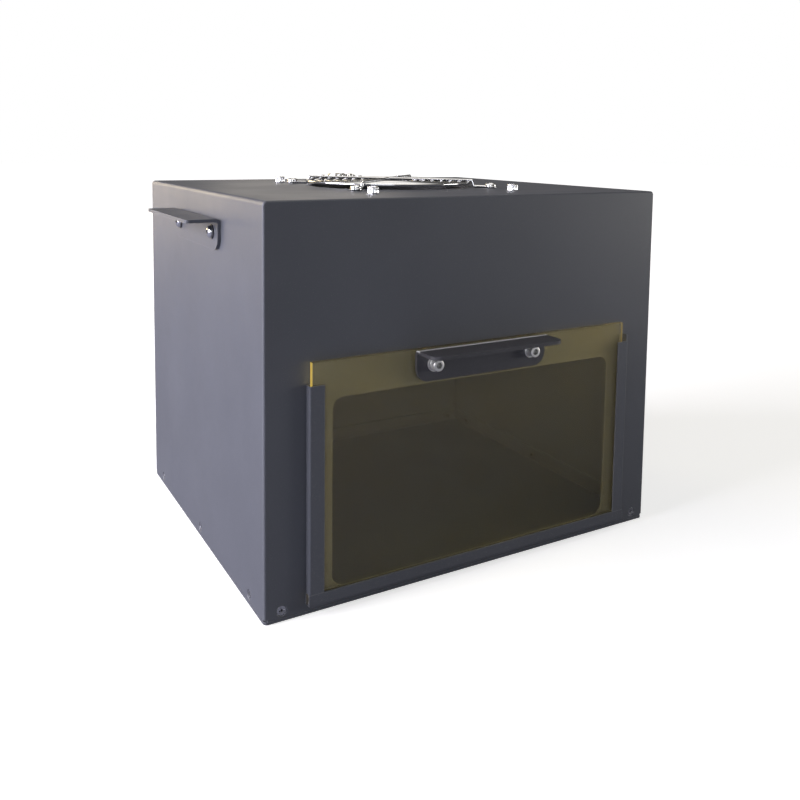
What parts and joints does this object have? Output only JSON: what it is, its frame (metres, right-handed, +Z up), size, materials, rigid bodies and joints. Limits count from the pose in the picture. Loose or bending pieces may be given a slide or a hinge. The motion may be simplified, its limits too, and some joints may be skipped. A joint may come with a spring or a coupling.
{
  "type": "uv curing light box",
  "caption": "Dark sheet-metal box with an amber window pane that slides up in guides, bent handles, a wire-guarded fan on top and a hanging ultraviolet lamp inside.",
  "frame": {"origin": "middle of the base sheet's underside, where the box rests", "axes": "+Z up, the window and its pane face -Y, +X to the right of someone facing the window"},
  "size_m": [0.322, 0.2651, 0.236],
  "materials": {
    "coat": "satin dark grey powder coat with a fine texture",
    "handle_coat": "satin powder coat, a little darker, rubbed along its bend",
    "amber_acrylic": "clear amber acrylic sheet, polished, its cut edges glowing",
    "chrome": "bright plated steel",
    "black_screw": "blackened steel",
    "zinc": "zinc-plated steel",
    "brass": "plain brass and sintered bronze",
    "nickel": "nickel plate",
    "fan_plastic": "moulded glass-filled plastic",
    "copper_winding": "enamelled copper wire on a steel core",
    "ferrite": "moulded ferrite",
    "aluminium": "extruded, as drawn",
    "black_aluminium": "black anodised",
    "board": "white solder mask on an aluminium core",
    "led_ceramic": "ceramic packages with clear domes",
    "terminal_green": "moulded terminal",
    "clear_glass": "clear polished glass",
    "red_lead": "soft insulated wire",
    "black_lead": "soft insulated wire"
  },
  "bodies": {
    "cabinet": {"cover_wrap": "coat", "front_panel": "coat", "rear_panel": "coat", "base_plate": "coat", "door_guide_left": "coat", "door_guide_right": "coat", "door_guide_bottom": "coat", "side_handle_left": "coat", "side_handle_right": "coat", "side_handle_screws": "chrome", "fan_guard": "chrome", "fan_guard_screws": "chrome", "lamp_screws": "chrome", "connector_screws": "chrome", "base_screws": "black_screw", "side_handle_washers": "black_screw", "side_handle_nuts": "zinc", "fan_guard_nuts": "zinc", "lamp_standoffs": "zinc", "led_board_screws": "zinc", "lamp_frame_screws": "zinc", "connector_nuts": "zinc", "fan_bearing": "brass", "connector_pins": "brass", "connector_socket": "nickel", "connector_ring": "nickel", "fan_frame": "fan_plastic", "connector_insert": "fan_plastic", "fan_stator": "copper_winding", "heat_sink": "aluminium", "lamp_frame": "black_aluminium", "led_board": "board", "leds": "led_ceramic", "lamp_terminal": "terminal_green", "lamp_glass": "clear_glass", "lamp_lead_plus": "red_lead", "lamp_lead_minus": "black_lead", "fan_lead": "black_lead"},
    "door": {"door_panel": "amber_acrylic", "door_inserts": "brass", "door_handle": "handle_coat", "door_flat_washers": "chrome", "door_spring_washers": "chrome", "door_handle_screws": "chrome"},
    "fan_wheel": {"fan_rotor": "fan_plastic", "fan_magnet": "ferrite", "fan_shaft": "zinc", "fan_clip": "zinc"}
  },
  "joints": [
    {"name": "door_slide", "type": "slide", "parent": "cabinet", "child": "door", "axis": [0, 0, 1], "range_m": [0, 0.13]},
    {"name": "fan_spin", "type": "hinge", "parent": "cabinet", "child": "fan_wheel", "pos_m": [0, 0, 0.215], "axis": [0, 0, 1], "continuous": true}
  ]
}
